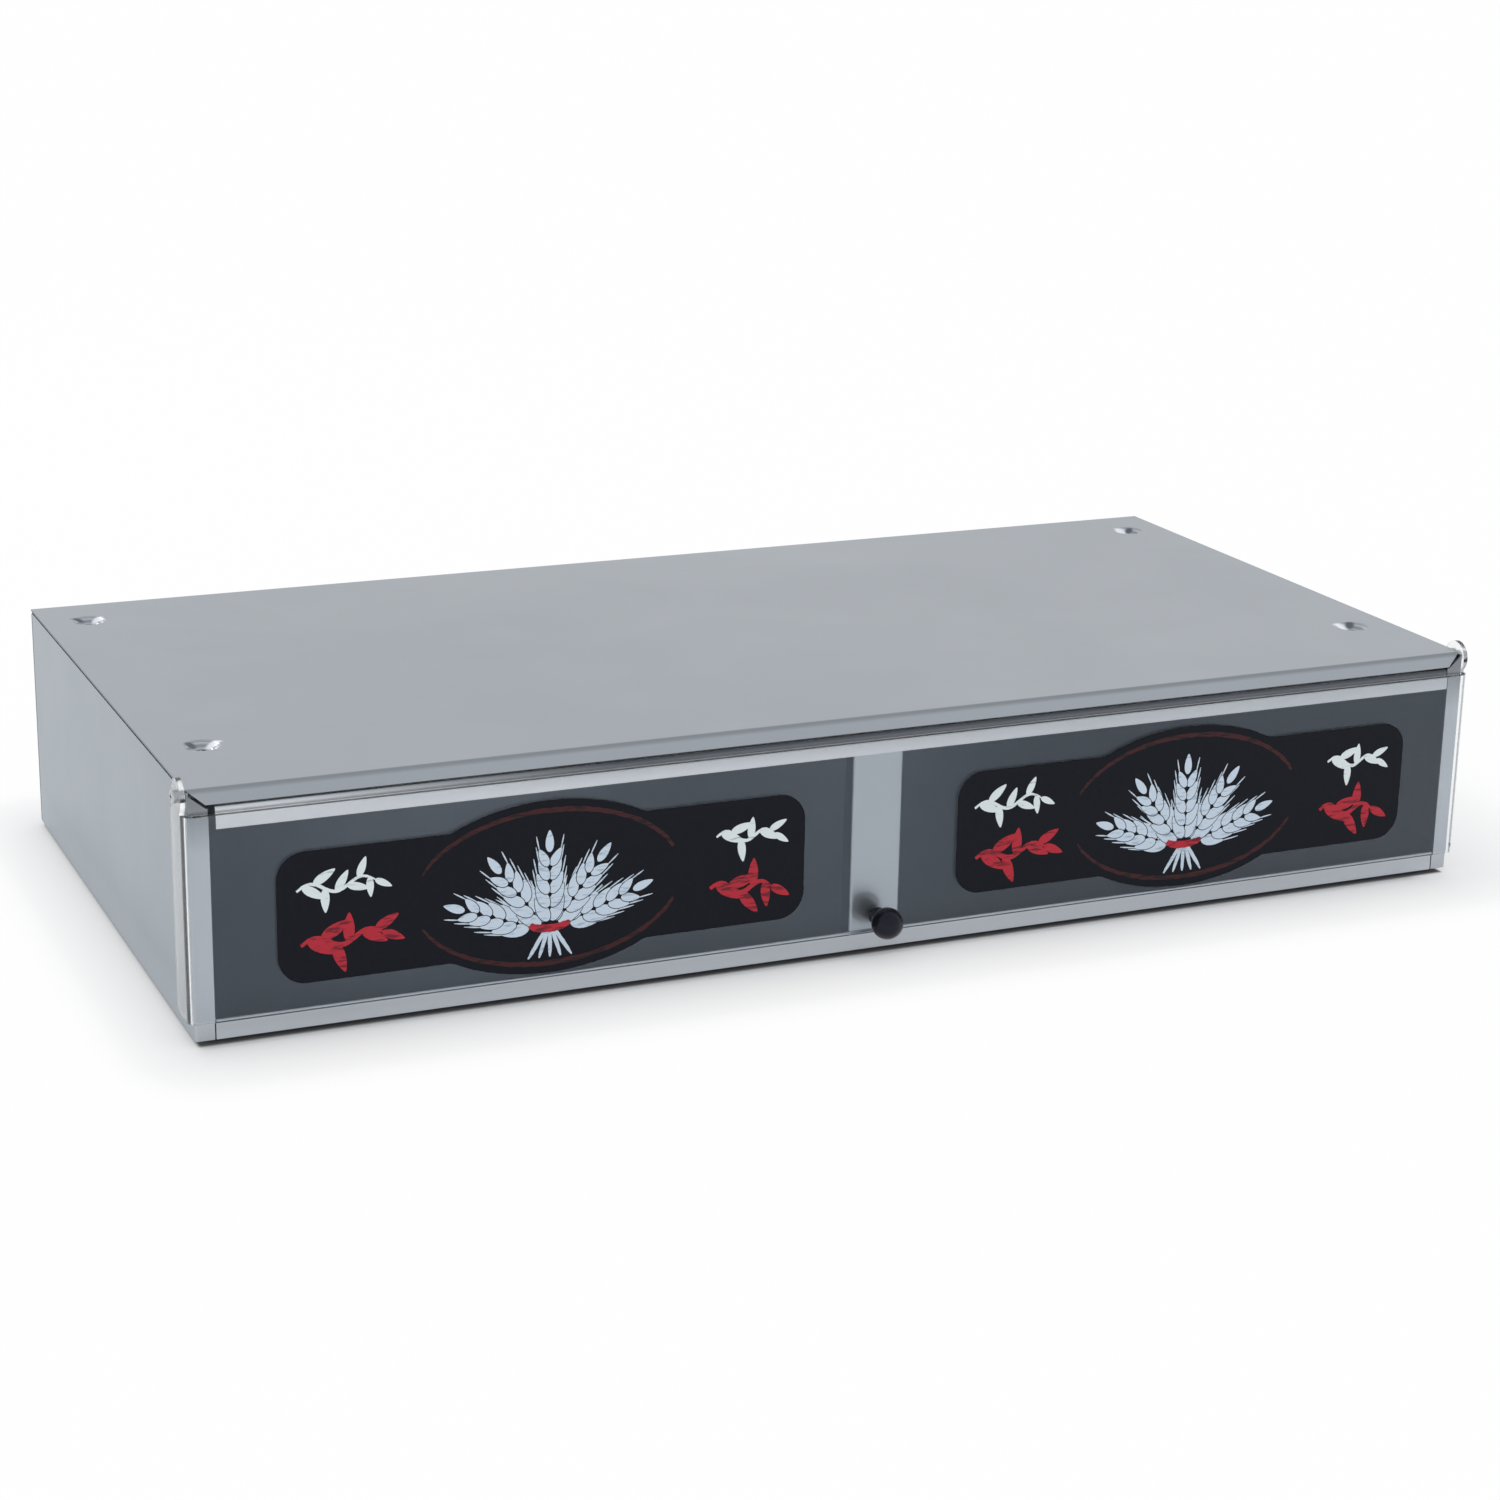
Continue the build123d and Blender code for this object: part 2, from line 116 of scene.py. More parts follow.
world = bpy.data.worlds.new("room")
world.use_nodes = True
scene.world = world
tree = world.node_tree
tree.nodes.clear()
direction = add_node(tree, "ShaderNodeTexCoord")
split = add_node(tree, "ShaderNodeSeparateXYZ")
height = add_fade(tree, 0.0, room_high_from)
shade = add_node(tree, "ShaderNodeMix", data_type="RGBA", A=room_low, B=room_high)
lit = add_node(tree, "ShaderNodeBackground", Strength=room_strength)
white = add_node(tree, "ShaderNodeBackground", Color=room_low, Strength=1.0)
path = add_node(tree, "ShaderNodeLightPath")
choice = add_node(tree, "ShaderNodeMixShader")
output = add_node(tree, "ShaderNodeOutputWorld")
link(
    tree,
    (direction.outputs["Generated"], split.inputs[0]),
    (split.outputs["Z"], height.inputs["Value"]),
    (height.outputs[0], shade.inputs["Factor"]),
    (shade.outputs["Result"], lit.inputs["Color"]),
    (path.outputs["Is Camera Ray"], choice.inputs[0]),
    (lit.outputs[0], choice.inputs[1]),
    (white.outputs[0], choice.inputs[2]),
    (choice.outputs[0], output.inputs["Surface"]),
)

lamp_data = bpy.data.lights.new("back_lamp", "AREA")
lamp_data.size = lamp_size
lamp_data.energy = lamp_power
lamp = bpy.data.objects.new("back_lamp", lamp_data)
lamp.location = lamp_place
lamp.rotation_mode = "QUATERNION"
lamp.rotation_quaternion = (lamp_place - lamp_target).to_track_quat("Z", "Y")
lamp.visible_camera = False
lamp.visible_transmission = False
scene.collection.objects.link(lamp)


# Floor: a plain white sweep that the box stands on. It is matt, and partly glows white to the
# camera and in mirrors. The glow fades the soft shadow of the box out within a hand's breadth of
# it, and in the gap under the sheet a painted shadow darkens its colour. Each edge of the shadow
# has its place and a
# pace: the higher the pace, the sooner the shadow fades out there.
floor_radius = 16.0
floor_segments = 96
floor_white = (0.97, 0.97, 0.97, 1)
floor_painted_shadow = (0.27, 0.27, 0.28, 1)
shadow_lift = ((0.010, 0.38), (0.028, 0.57), (0.055, 0.76), (0.075, 0.93), (0.100, 0.975))
shadow_lift_far = 0.975
shadow_reach = 0.2
shadow_left = (-0.447, 1.35)
shadow_right = (0.420, 0.40)
shadow_front = (-0.2155, 1.0)
shadow_back = (0.240, 1.0)
gap_under_box = (
    ("X", -0.4475, -0.4500),
    ("X", 0.4475, 0.4500),
    ("Y", -0.2095, -0.2125),
    ("Y", 0.2370, 0.2400),
)


def new_material(name):
    """A material with an empty node tree and its output."""
    material = bpy.data.materials.new(name)
    material.use_nodes = True
    material.node_tree.nodes.clear()
    material_output = add_node(material.node_tree, "ShaderNodeOutputMaterial", (900, 0))
    return material, material.node_tree, material_output


def combine(tree, operation, first, second):
    """Works out one value from two, each of them a socket or a plain number."""
    result = add_node(tree, "ShaderNodeMath", operation=operation)
    for value, socket in zip((first, second), result.inputs):
        if isinstance(value, bpy.types.NodeSocket):
            tree.links.new(value, socket)
        else:
            socket.default_value = value
    return result.outputs[0]


def ramp(tree, axis, full, empty):
    """A value along one axis of the floor: 1 at the first place and 0 at the second."""
    place = add_node(tree, "ShaderNodeTexCoord")
    split = add_node(tree, "ShaderNodeSeparateXYZ")
    fade = add_fade(tree, empty, full)
    link(
        tree,
        (place.outputs["Object"], split.inputs[0]),
        (split.outputs[axis], fade.inputs["Value"]),
    )
    return fade.outputs[0]


def outside(tree, axis, side, edge, pace):
    """How far a place lies outside an edge of the shadow, in shares of its reach."""
    return ramp(tree, axis, edge + side * shadow_reach / pace, edge)


floor_material, tree, output = new_material("floor_white")
# Painted shadow: inside the gap under the box the floor takes a dark colour.
under = 1.0
for gap_side in gap_under_box:
    under = combine(tree, "MULTIPLY", under, ramp(tree, *gap_side))
tone = add_node(tree, "ShaderNodeMix", data_type="RGBA", A=floor_white, B=floor_painted_shadow)
matt = add_node(tree, "ShaderNodeBsdfDiffuse")
glow = add_node(tree, "ShaderNodeEmission", Color=(1, 1, 1, 1), Strength=1.0)
left_or_right = combine(
    tree, "ADD", outside(tree, "X", -1, *shadow_left), outside(tree, "X", 1, *shadow_right)
)
front_or_back = combine(
    tree, "ADD", outside(tree, "Y", -1, *shadow_front), outside(tree, "Y", 1, *shadow_back)
)
corner = add_node(tree, "ShaderNodeCombineXYZ")
distance = add_node(tree, "ShaderNodeVectorMath", operation="LENGTH")
lift = add_node(tree, "ShaderNodeFloatCurve")
curve = lift.mapping.curves[0]
curve.points[0].location = (0.0, 0.0)
curve.points[1].location = (1.0, shadow_lift_far)
for reach, share in shadow_lift:
    curve.points.new(reach / shadow_reach, share).handle_type = "AUTO_CLAMPED"
lift.mapping.update()
path = add_node(tree, "ShaderNodeLightPath")
seen = combine(tree, "MAXIMUM", path.outputs["Is Camera Ray"], path.outputs["Is Transmission Ray"])
seen_or_mirrored = combine(tree, "MAXIMUM", seen, path.outputs["Is Glossy Ray"])
open_floor = combine(tree, "SUBTRACT", 1.0, under)
lifted = combine(tree, "MULTIPLY", lift.outputs[0], open_floor)
blend = add_node(tree, "ShaderNodeMixShader")
link(
    tree,
    (under, tone.inputs["Factor"]),
    (tone.outputs["Result"], matt.inputs["Color"]),
    (left_or_right, corner.inputs["X"]),
    (front_or_back, corner.inputs["Y"]),
    (corner.outputs[0], distance.inputs[0]),
    (distance.outputs["Value"], lift.inputs["Value"]),
    (combine(tree, "MULTIPLY", lifted, seen_or_mirrored), blend.inputs[0]),
    (matt.outputs[0], blend.inputs[1]),
    (glow.outputs[0], blend.inputs[2]),
    (blend.outputs[0], output.inputs["Surface"]),
)

mesh = bmesh.new()
bmesh.ops.create_circle(mesh, cap_ends=True, segments=floor_segments, radius=floor_radius)
floor_mesh = bpy.data.meshes.new("floor")
mesh.to_mesh(floor_mesh)
mesh.free()
floor_mesh.materials.append(floor_material)
floor = bpy.data.objects.new("floor", floor_mesh)
scene.collection.objects.link(floor)


# Side panels and deck angles: satin stainless sheet, cut and bent, with the angles spot welded to
# the sides. The grain runs along the sheet, under faint clouding from rolling and smears from
# wiping.
# Painted shade darkens the front upper corner and the tops of the front edges under the lip, and
# painted light brightens the foot and, most, the front edge.
satin_relief = 0.06
satin_depth = 0.00005
satin_length = 14.0
satin_pitch = 1500.0
cloud_range = (0.3, 0.7)
smear_range = (-0.05, 0.05)
side_dark = (0.302, 0.348, 0.386, 1)
side_light = (0.329, 0.376, 0.414, 1)
side_roughness = 0.34
side_corner_painted_shade = (0.280, 0.322, 0.362, 1)
side_corner = (("Z", 0.155, 0.080), ("Y", -0.200, 0.050))
side_foot_painted_light = (0.400, 0.445, 0.490, 1)
side_foot = ("Z", 0.0035, 0.0300)
stile_painted_light = (0.470, 0.500, 0.540, 1)
stile = ("Y", -0.2100, -0.2088)
stile_top_painted_shade = (0.225, 0.240, 0.260, 1)
stile_top = ("Z", 0.152, 0.122)


def new_group(name, inputs, outputs):
    """A node group with named inputs and outputs, and the nodes at its two ends."""
    group = bpy.data.node_groups.new(name, "ShaderNodeTree")
    for in_out, sockets in (("INPUT", inputs), ("OUTPUT", outputs)):
        for socket_name, kind in sockets.items():
            socket_type = "NodeSocket" + kind
            group.interface.new_socket(socket_name, in_out=in_out, socket_type=socket_type)
    group_input = add_node(group, "NodeGroupInput", (-900, 0))
    return group, group_input, add_node(group, "NodeGroupOutput", (900, 0))


grain, start, end = new_group(
    "satin_grain",
    {
        "Place": "Vector",
        "Stretch": "Vector",
        "Dark": "Color",
        "Light": "Color",
        "Roughness": "Float",
    },
    {"Colour": "Color", "Roughness": "Float", "Height": "Float"},
)
across = add_node(grain, "ShaderNodeVectorMath", (-600, 300), operation="MULTIPLY")
fine = add_node(grain, "ShaderNodeTexNoise", (-300, 300), Scale=1.0, Detail=4.0, Roughness=0.6)
cloud = add_node(grain, "ShaderNodeTexNoise", (-300, 0), Scale=3.2, Detail=3.0, Roughness=0.55)
smear = add_node(grain, "ShaderNodeTexNoise", (-300, -300), Scale=9.0, Detail=5.0, Roughness=0.65)
smear.inputs["Distortion"].default_value = 0.6
tone = add_fade(grain, *cloud_range)
gloss = add_fade(grain, 0.0, 1.0, *smear_range)
colour = add_node(grain, "ShaderNodeMix", (300, 0), data_type="RGBA")
roughness = combine(grain, "ADD", gloss.outputs[0], start.outputs["Roughness"])
link(
    grain,
    (start.outputs["Place"], across.inputs[0]),
    (start.outputs["Stretch"], across.inputs[1]),
    (across.outputs[0], fine.inputs["Vector"]),
    (fine.outputs[0], end.inputs["Height"]),
    (start.outputs["Place"], cloud.inputs["Vector"]),
    (cloud.outputs[0], tone.inputs["Value"]),
    (tone.outputs[0], colour.inputs["Factor"]),
    (start.outputs["Dark"], colour.inputs["A"]),
    (start.outputs["Light"], colour.inputs["B"]),
    (colour.outputs["Result"], end.inputs["Colour"]),
    (start.outputs["Place"], smear.inputs["Vector"]),
    (smear.outputs[0], gloss.inputs["Value"]),
    (roughness, end.inputs["Roughness"]),
)

band_mask, start, end = new_group(
    "band_mask",
    {
        "Place": "Vector",
        "Direction": "Vector",
        "Full": "Float",
        "Empty": "Float",
        "Within": "Float",
    },
    {"Mask": "Float"},
)
along = add_node(band_mask, "ShaderNodeVectorMath", (-400, 0), operation="DOT_PRODUCT")
fade = add_node(band_mask, "ShaderNodeMapRange")
link(
    band_mask,
    (start.outputs["Place"], along.inputs[0]),
    (start.outputs["Direction"], along.inputs[1]),
    (along.outputs["Value"], fade.inputs["Value"]),
    (start.outputs["Empty"], fade.inputs["From Min"]),
    (start.outputs["Full"], fade.inputs["From Max"]),
    (combine(band_mask, "MULTIPLY", fade.outputs[0], start.outputs["Within"]), end.inputs["Mask"]),
)
axes = {"X": (1, 0, 0), "Y": (0, 1, 0), "Z": (0, 0, 1)}


def finish(name, effect, relief, depth, metallic=0.0, **values):
    """A material that takes its colour, gloss and relief from an effect with its own values."""
    material, tree, output = new_material(name)
    surface = add_node(tree, "ShaderNodeBsdfPrincipled", (600, 0), Metallic=metallic)
    place = add_node(tree, "ShaderNodeTexCoord", (-600, 0))
    pattern = add_node(tree, "ShaderNodeGroup", (-300, 0), node_tree=effect, **values)
    bumps = add_node(tree, "ShaderNodeBump", (300, -300), Strength=relief, Distance=depth)
    link(
        tree,
        (place.outputs["Object"], pattern.inputs["Place"]),
        (pattern.outputs["Colour"], surface.inputs["Base Color"]),
        (pattern.outputs["Height"], bumps.inputs["Height"]),
        (bumps.outputs[0], surface.inputs["Normal"]),
        (surface.outputs[0], output.inputs["Surface"]),
    )
    if "Roughness" in pattern.outputs:
        tree.links.new(pattern.outputs["Roughness"], surface.inputs["Roughness"])
    return material


def satin_steel(name, dark, light, roughness, along):
    """Satin steel between two tones, with its grain along one axis."""
    stretch = [satin_length if axis == along else satin_pitch for axis in "XYZ"]
    tones = {"Stretch": stretch, "Dark": dark, "Light": light, "Roughness": roughness}
    return finish(name, grain, satin_relief, satin_depth, metallic=1.0, **tones)


def area(material, *bands):
    """A mask that is 1 where all its bands are full. A band has its axis or direction, the place
    along it where it is full, and the place where it has faded out."""
    tree = material.node_tree
    mask = None
    for direction, full, empty in bands:
        place = add_node(tree, "ShaderNodeTexCoord")
        band = add_node(tree, "ShaderNodeGroup", node_tree=band_mask, Full=full, Empty=empty)
        band.inputs["Direction"].default_value = axes.get(direction, direction)
        band.inputs["Within"].default_value = 1.0
        tree.links.new(place.outputs["Object"], band.inputs["Place"])
        if mask is not None:
            tree.links.new(mask, band.inputs["Within"])
        mask = band.outputs["Mask"]
    return mask


def surface_of(material):
    """The surface shader of a material."""
    return next(node for node in material.node_tree.nodes if node.type == "BSDF_PRINCIPLED")


def lay_over(material, socket_name, data_type, value, mask):
    """Lays a value over what feeds a socket of the surface, where the mask is 1."""
    socket = surface_of(material).inputs[socket_name]
    below = socket.links[0].from_socket
    layer = add_node(material.node_tree, "ShaderNodeMix", data_type=data_type, B=value)
    link(material.node_tree, (mask, layer.inputs["Factor"]), (below, layer.inputs["A"]))
    link(material.node_tree, (layer.outputs["Result"], socket))


def tint(material, colour, mask):
    """Gives the surface another colour where the mask is 1."""
    lay_over(material, "Base Color", "RGBA", colour, mask)


def dress(material, *node_names):
    """Gives CAD nodes their finish."""
    for node_name in node_names:
        mesh = nodes[node_name].data
        mesh.materials.clear()
        mesh.materials.append(material)


side_steel = satin_steel("side_steel", side_dark, side_light, side_roughness, along="Y")
# Painted shade on the front upper corner, painted light on the foot and the front edge, and
# painted shade at the tops of the front edges.
tint(side_steel, side_corner_painted_shade, area(side_steel, *side_corner))
tint(side_steel, side_foot_painted_light, area(side_steel, side_foot))
tint(side_steel, stile_painted_light, area(side_steel, stile))
tint(side_steel, stile_top_painted_shade, area(side_steel, stile, stile_top))
dress(side_steel, "left_side_panel", "right_side_panel", "left_deck_angle", "right_deck_angle")


# Bottom pan and back panel: the same sheet, spot welded and riveted to the sides. The front edge
# of the pan is folded down as the rail under the openings, and painted light brightens its foot.
front_dark = (0.445, 0.475, 0.515, 1)
front_light = (0.490, 0.520, 0.560, 1)
front_roughness = 0.31
front_foot_painted_light = (0.560, 0.595, 0.640, 1)
front_foot = ("Z", 0.0035, 0.0110)

front_steel = satin_steel("front_steel", front_dark, front_light, front_roughness, along="X")
# Painted light: the foot of the rail is brighter.
tint(front_steel, front_foot_painted_light, area(front_steel, front_foot))
dress(front_steel, "bottom_pan", "back_panel")


# Deck: one sheet of the same steel over the sides, folded down at the front as a sloping lip.
# Painted shade darkens it along the fold, and on its side edges as the shadow line of the seam.
# Painted light brightens the inner face, behind the lip too, where the gap under the lip lies in
# shade.
deck_dark = (0.385, 0.415, 0.450, 1)
deck_light = (0.420, 0.450, 0.485, 1)
deck_roughness = 0.36
fold_painted_shade = (0.295, 0.315, 0.340, 1)
fold = (("Y", -0.2066, -0.2076), ("Y", -0.2058, -0.2049))
gap_painted_light = (0.86, 0.88, 0.90, 1)
under_deck = ("Z", 0.15965, 0.15970)
behind_fold = ("Y", -0.2040, -0.2046)
before_fold = ("Y", -0.2035, -0.2030)
lip_slope = (0, 1, -5.0 / 9.0)
inside_lip = (lip_slope, -0.2940, -0.2944)
seam_painted_shade = (0.160, 0.172, 0.190, 1)
seam_shade_left = ("X", -0.45082, -0.45070)
seam_shade_right = ("X", 0.45082, 0.45070)

deck_steel = satin_steel("deck_steel", deck_dark, deck_light, deck_roughness, along="X")
# Painted shade along the fold, painted light on the inner face, and painted shade on the side
# edges.
tint(deck_steel, fold_painted_shade, area(deck_steel, *fold))
tint(deck_steel, gap_painted_light, area(deck_steel, under_deck, behind_fold))
tint(deck_steel, gap_painted_light, area(deck_steel, inside_lip, under_deck, before_fold))
tint(deck_steel, seam_painted_shade, area(deck_steel, seam_shade_left))
tint(deck_steel, seam_painted_shade, area(deck_steel, seam_shade_right))
dress(deck_steel, "top_deck")


# Dimples of the deck: a die presses them in and leaves their walls smooth. Painted shade darkens
# the walls and painted light the floors, with a painted highlight on one side and a painted dark
# reflection beside it. A dimple has its place, then the offset and the half sizes of its highlight
# and dark mark.
dimple_radius = 0.0092
dimple_softness = 0.25
dimple_roughness = 0.20
dimple_painted_shade = (0.285, 0.303, 0.327, 1)
dimple_floor_radius = 0.0062
dimple_floor_painted_light = (0.480, 0.505, 0.540, 1)
mark_softness = 0.5
dimple_painted_highlight = (0.95, 0.97, 1.0, 1)
dimple_painted_dark_reflection = (0.145, 0.158, 0.178, 1)
dimples = (
    ((-0.4191, 0.19595), (0.0071, 0.0058, 0.0034, 0.0021), (-0.0069, 0.0076, 0.0040, 0.0016)),
    ((-0.4191, -0.12155), (0.0085, 0.0044, 0.0044, 0.0023), (-0.0056, 0.0071, 0.0031, 0.0022)),
    ((0.4191, 0.19595), (-0.0029, 0.0075, 0.0044, 0.0030), (0.0049, 0.0069, 0.0026, 0.0023)),
    ((0.4191, -0.12155), (-0.0052, 0.0070, 0.0048, 0.0034), (0.0037, 0.0086, 0.0029, 0.0026)),
)


def spot(material, x, y, half_x, half_y, softness):
    """A mask that is 1 inside an oval on the deck, and fades to 0 around it."""
    tree = material.node_tree
    place = add_node(tree, "ShaderNodeTexCoord")
    centred = add_node(tree, "ShaderNodeVectorMath", operation="SUBTRACT")
    centred.inputs[1].default_value = (x, y, 0)
    scaled = add_node(tree, "ShaderNodeVectorMath", operation="MULTIPLY")
    scaled.inputs[1].default_value = (1 / half_x, 1 / half_y, 0)
    away = add_node(tree, "ShaderNodeVectorMath", operation="LENGTH")
    fade = add_fade(tree, 1 + softness, 1 - softness / 2)
    link(
        tree,
        (place.outputs["Object"], centred.inputs[0]),
        (centred.outputs[0], scaled.inputs[0]),
        (scaled.outputs[0], away.inputs[0]),
        (away.outputs["Value"], fade.inputs["Value"]),
    )
    return fade.outputs[0]


def polish(material, roughness, mask):
    """Gives the surface another roughness where the mask is 1."""
    lay_over(material, "Roughness", "FLOAT", roughness, mask)


for (x, y), *marks in dimples:
    pressed = spot(deck_steel, x, y, dimple_radius, dimple_radius, dimple_softness)
    # Painted shade on the walls, painted light on the floor, then a painted highlight and a
    # painted dark reflection.
    tint(deck_steel, dimple_painted_shade, pressed)
    polish(deck_steel, dimple_roughness, pressed)
    bottom = spot(deck_steel, x, y, dimple_floor_radius, dimple_floor_radius, dimple_softness)
    tint(deck_steel, dimple_floor_painted_light, bottom)
    for mark_colour, (off_x, off_y, half_x, half_y) in zip((dimple_painted_highlight, dimple_painted_dark_reflection), marks):
        mark = spot(deck_steel, x + off_x, y + off_y, half_x, half_y, mark_softness)
        tint(deck_steel, mark_colour, mark)


# Front top rail and centre post: bent strips of the same sheet, spot welded around the openings.
# Painted light makes them a little brighter than the rest. Painted shade darkens the right half of
# the rail and its top under the lip, and painted light brightens its shelf in the gap under the
# lip.
rail_dark = (0.60, 0.62, 0.65, 1)
rail_light = (0.66, 0.68, 0.71, 1)
rail_roughness = 0.30
rail_right_painted_shade = (0.520, 0.545, 0.575, 1)
rail_right = ("X", 0.15, -0.15)
rail_past_left_end = ("X", -0.18, -0.40)
rail_upper_painted_shade = (0.455, 0.475, 0.500, 1)
rail_upper = ("Z", 0.1460, 0.1385)
rail_under_lip_painted_shade = (0.095, 0.105, 0.120, 1)
rail_under_lip = ("Z", 0.1488, 0.1438)
rail_shelf = ("Z", 0.1502, 0.1499)
post_dark = (0.430, 0.468, 0.512, 1)
post_light = (0.472, 0.512, 0.558, 1)
post_roughness = 0.44

rail_steel = satin_steel("header_steel", rail_dark, rail_light, rail_roughness, along="X")
# Painted shade on the right half and under the lip, and painted light on the shelf.
tint(rail_steel, rail_right_painted_shade, area(rail_steel, rail_right))
tint(rail_steel, rail_upper_painted_shade, area(rail_steel, rail_upper, rail_past_left_end))
tint(rail_steel, rail_under_lip_painted_shade, area(rail_steel, rail_under_lip, rail_past_left_end))
tint(rail_steel, gap_painted_light, area(rail_steel, rail_shelf))
dress(rail_steel, "front_top_rail")
post_steel = satin_steel("post_steel", post_dark, post_light, post_roughness, along="Z")
dress(post_steel, "centre_mullion")


# Feet, rivets and pivot hardware: black rubber pads bonded under the pan, plain aluminium rivets
# in the back panel, and the zinc plated screws and nuts that the door hangs on, with a nylon
# washer between each of its ears and the side.
speck_depth = 0.0001
speck_gloss = (0.8, 1.2)
rubber_dark = (0.012, 0.012, 0.013, 1)
rubber_light = (0.030, 0.030, 0.032, 1)
rubber_finish = {"roughness": 0.75, "scale": 800, "relief": 0.5}
aluminium_dark = (0.50, 0.51, 0.53, 1)
aluminium_light = (0.68, 0.69, 0.71, 1)
aluminium_finish = {"roughness": 0.35, "scale": 700, "relief": 0.15, "metallic": 1.0}
zinc_dark = (0.42, 0.43, 0.45, 1)
zinc_light = (0.60, 0.61, 0.63, 1)
zinc_finish = {"roughness": 0.30, "scale": 900, "relief": 0.15, "metallic": 1.0}
nylon_dark = (0.74, 0.73, 0.69, 1)
nylon_light = (0.84, 0.83, 0.79, 1)
nylon_finish = {"roughness": 0.5, "scale": 500, "relief": 0.1}

specks, start, end = new_group(
    "specks",
    {"Place": "Vector", "Scale": "Float", "Dark": "Color", "Light": "Color", "Roughness": "Float"},
    {"Colour": "Color", "Roughness": "Float", "Height": "Float"},
)
grit = add_node(specks, "ShaderNodeTexNoise", (-400, 0), Detail=4.0, Roughness=0.6)
gloss = add_fade(specks, 0.0, 1.0, *speck_gloss)
colour = add_node(specks, "ShaderNodeMix", (300, 200), data_type="RGBA")
roughness = combine(specks, "MULTIPLY", gloss.outputs[0], start.outputs["Roughness"])
link(
    specks,
    (start.outputs["Place"], grit.inputs["Vector"]),
    (start.outputs["Scale"], grit.inputs["Scale"]),
    (grit.outputs[0], end.inputs["Height"]),
    (grit.outputs[0], colour.inputs["Factor"]),
    (start.outputs["Dark"], colour.inputs["A"]),
    (start.outputs["Light"], colour.inputs["B"]),
    (colour.outputs["Result"], end.inputs["Colour"]),
    (grit.outputs[0], gloss.inputs["Value"]),
    (roughness, end.inputs["Roughness"]),
)


def speckled(name, dark, light, roughness, scale, relief, metallic=0.0):
    """A plain finish with fine uneven tone, gloss and relief."""
    tones = {"Scale": scale, "Dark": dark, "Light": light, "Roughness": roughness}
    return finish(name, specks, relief, speck_depth, metallic, **tones)


rubber = speckled("foot_rubber", rubber_dark, rubber_light, **rubber_finish)
dress(rubber, "foot_front_left", "foot_front_right", "foot_rear_left", "foot_rear_right")
aluminium = speckled("rivet_aluminium", aluminium_dark, aluminium_light, **aluminium_finish)
dress(aluminium, "back_rivets")
zinc = speckled("zinc", zinc_dark, zinc_light, **zinc_finish)
dress(zinc, "left_pivot_screw", "right_pivot_screw", "left_pivot_nut", "right_pivot_nut")
nylon = speckled("nylon", nylon_dark, nylon_light, **nylon_finish)
dress(nylon, "left_spacer_washer", "right_spacer_washer")


# Door: one clear plastic sheet, bent hot at both ends into the ears that it hangs by. It is as
# clear as window glass, with faint wiping marks. The heat has left the bends and ears a little
# hazy, and the sawn top edge is matt.
clear_colour = (0.965, 0.98, 0.99, 1)
clear_mirror_colour = (0.70, 0.82, 1.0, 1)
clear_ior = 1.49
wiped_from = (0.55, 0.8)
wiped_roughness = 0.01
sawn_roughness = 0.45
sawn_edge = ("Z", 0.1459, 0.1456)
bend_roughness = 0.16
left_bend = ("X", -0.4475, -0.4455)
right_bend = ("X", 0.4475, 0.4455)

clear, tree, output = new_material("clear_sheet")
surface = add_node(tree, "ShaderNodeBsdfPrincipled", (600, 0), Metallic=0.0, IOR=clear_ior)
surface.inputs["Transmission Weight"].default_value = 1.0
surface.inputs["Base Color"].default_value = clear_colour
surface.inputs["Specular Tint"].default_value = clear_mirror_colour
place = add_node(tree, "ShaderNodeTexCoord", (-700, 0))
wipes = add_node(tree, "ShaderNodeTexNoise", (-450, 0), Scale=14.0, Detail=6.0, Roughness=0.7)
wipes.inputs["Distortion"].default_value = 1.2
gloss = add_fade(tree, *wiped_from, 0.0, wiped_roughness)
link(
    tree,
    (place.outputs["Object"], wipes.inputs["Vector"]),
    (wipes.outputs[0], gloss.inputs["Value"]),
    (gloss.outputs[0], surface.inputs["Roughness"]),
    (surface.outputs[0], output.inputs["Surface"]),
)
polish(clear, sawn_roughness, area(clear, sawn_edge))
polish(clear, bend_roughness, area(clear, left_bend))
polish(clear, bend_roughness, area(clear, right_bend))
dress(clear, "door_panel")


# Knob: a black moulded ball, glossy, with the fine unevenness of handled plastic. A zinc plated
# screw with a flat head holds it through the clear sheet.
knob_dark = (0.003, 0.003, 0.006, 1)
knob_light = (0.009, 0.009, 0.014, 1)
knob_finish = {"roughness": 0.18, "scale": 400, "relief": 0.08}
knob_mirror_level = 0.28
knob_mirror_colour = (0.78, 0.82, 1.0, 1)

knob_black = speckled("knob_black", knob_dark, knob_light, **knob_finish)
surface_of(knob_black).inputs["Specular IOR Level"].default_value = knob_mirror_level
surface_of(knob_black).inputs["Specular Tint"].default_value = knob_mirror_colour
dress(knob_black, "door_knob")
dress(zinc, "knob_screw")


# Labels: dark vinyl, cut to shape and stuck on the front of the clear sheet. The pieces after this
# one are their print, in thin raised ink.
label_dark = (0.003, 0.004, 0.007, 1)
label_light = (0.008, 0.010, 0.016, 1)
label_finish = {"roughness": 0.45, "scale": 260, "relief": 0.05}
label_mirror_level = 0.12

label_ground = speckled("label_ground", label_dark, label_light, **label_finish)
surface_of(label_ground).inputs["Specular IOR Level"].default_value = label_mirror_level
dress(label_ground, "left_label", "right_label")


